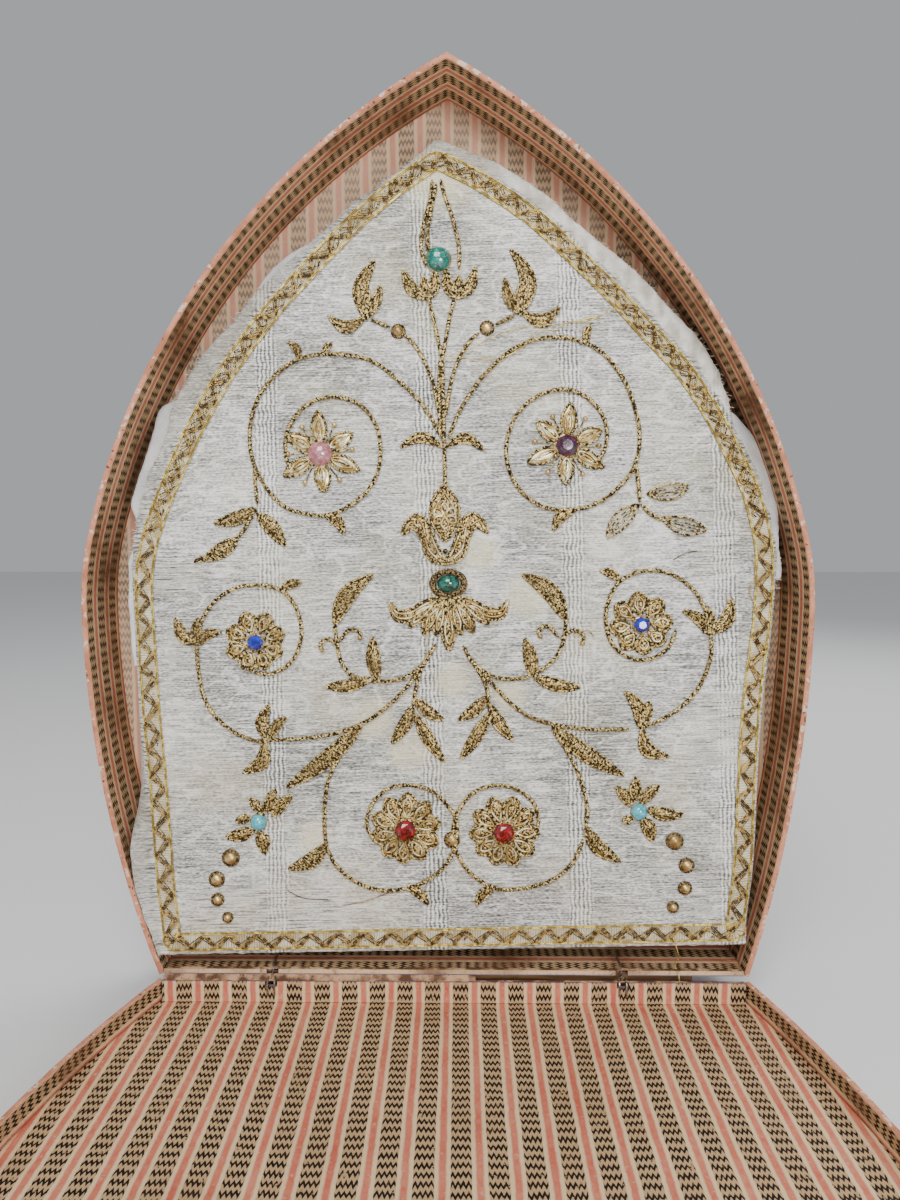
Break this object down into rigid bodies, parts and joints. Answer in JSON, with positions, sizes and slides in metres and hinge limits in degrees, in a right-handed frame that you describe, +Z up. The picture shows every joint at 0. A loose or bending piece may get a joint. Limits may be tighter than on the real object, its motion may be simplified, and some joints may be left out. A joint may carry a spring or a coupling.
{
  "type": "bishop mitre in an open case",
  "caption": "Embroidered silk mitre with a galloon border and set stones, folded flat in the deep half of a pointed pasteboard case whose shallow lid lies open at its foot.",
  "frame": {"origin": "bottom centre of the whole object's box, on the surface that the lid and the case's batten rest on", "axes": "+Y from the tip of the open lid towards the back of the standing case, +Z up along the mitre, +X to the right of a viewer who faces the mitre"},
  "size_m": [0.344, 0.4684, 0.442],
  "materials": {
    "printed_paper": "matt printed lining paper, coral stripes and tan bands with small black zigzags, over pasteboard",
    "batten_wood": "plain dark softwood",
    "hinge_wire": "dull iron wire",
    "moire_silk": "ribbed cream and silver watered silk, frayed",
    "white_lining": "plain white cotton",
    "gold_thread": "gilt metal thread, cord and braid",
    "gilt_metal": "worn gilding",
    "green_stone": "polished opaque cabochon",
    "pink_stone": "polished opaque cabochon",
    "violet_stone": "cut glass",
    "blue_stone": "cut glass",
    "red_stone": "cut glass",
    "turquoise_stone": "smooth opaque cabochon",
    "emerald_stone": "smooth glass cabochon"
  },
  "bodies": {
    "case": {"case_board": "printed_paper", "case_wall_left": "printed_paper", "case_wall_right": "printed_paper", "case_wall_foot": "printed_paper", "case_batten": "batten_wood", "case_hinge_eye_left": "hinge_wire", "case_hinge_eye_right": "hinge_wire", "mitre_front_face": "moire_silk", "mitre_back_face": "moire_silk", "mitre_gusset_left": "white_lining", "mitre_gusset_right": "white_lining", "mitre_galloon": "gold_thread", "stone_green_top": "green_stone", "stone_pink": "pink_stone", "stone_violet": "violet_stone", "stone_blue_left": "blue_stone", "stone_blue_right": "blue_stone", "stone_red_left": "red_stone", "stone_red_right": "red_stone", "stone_turquoise_left": "turquoise_stone", "stone_turquoise_right": "turquoise_stone", "stone_emerald": "emerald_stone", "emerald_bezel": "gilt_metal", "boss_top_left": "gilt_metal", "boss_top_right": "gilt_metal", "boss_middle": "gilt_metal", "boss_left_1": "gilt_metal", "boss_left_2": "gilt_metal", "boss_left_3": "gilt_metal", "boss_left_4": "gilt_metal", "boss_right_1": "gilt_metal", "boss_right_2": "gilt_metal", "boss_right_3": "gilt_metal", "boss_right_4": "gilt_metal"},
    "lid": {"lid_board": "printed_paper", "lid_wall_left": "printed_paper", "lid_wall_right": "printed_paper", "lid_wall_foot": "printed_paper", "lid_hinge_staple_left": "hinge_wire", "lid_hinge_staple_right": "hinge_wire"}
  },
  "joints": [
    {"name": "lid_hinge", "type": "hinge", "parent": "case", "child": "lid", "pos_m": [0, 0.19374, 0.014], "axis": [-1, 0, 0], "range_deg": [0, 90]}
  ]
}
